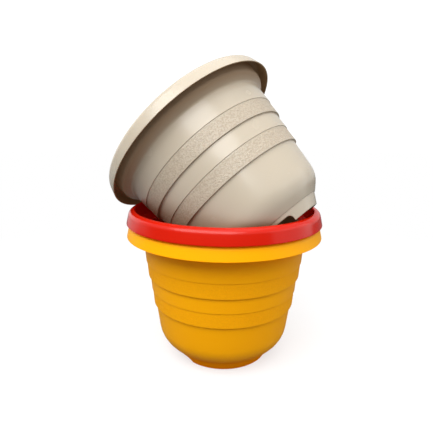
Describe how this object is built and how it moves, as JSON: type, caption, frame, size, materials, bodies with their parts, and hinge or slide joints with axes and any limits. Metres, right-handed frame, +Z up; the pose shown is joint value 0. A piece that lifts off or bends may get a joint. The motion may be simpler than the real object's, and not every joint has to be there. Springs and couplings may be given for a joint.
{
  "type": "plant pot stack",
  "caption": "Stack of moulded plastic plant pots with rolled rims, stepped bands and arched foot rings: one nested in another, the top one lying tilted in the mouth below.",
  "frame": {"origin": "on the ground, at the centre of the yellow pot's foot ring", "axes": "+Z up along the shared axis of the yellow and red pots; -Y towards the viewer; the beige pot's mouth leans towards -X and +Y"},
  "size_m": [0.3187, 0.3151, 0.4529],
  "materials": {
    "yellow_plastic": "satin",
    "red_plastic": "gloss",
    "beige_plastic": "satin, with fine grain on alternate bands"
  },
  "bodies": {
    "yellow": {"pot_yellow": "yellow_plastic"},
    "red": {"pot_red": "red_plastic"},
    "beige": {"pot_beige": "beige_plastic"}
  },
  "joints": [
    {"name": "red_lift", "type": "slide", "parent": "yellow", "child": "red", "axis": [0, 0, 1], "range_m": [0, 0.21]},
    {"name": "beige_lift", "type": "slide", "parent": "red", "child": "beige", "axis": [0, 0, 1], "range_m": [0, 0.12]}
  ]
}
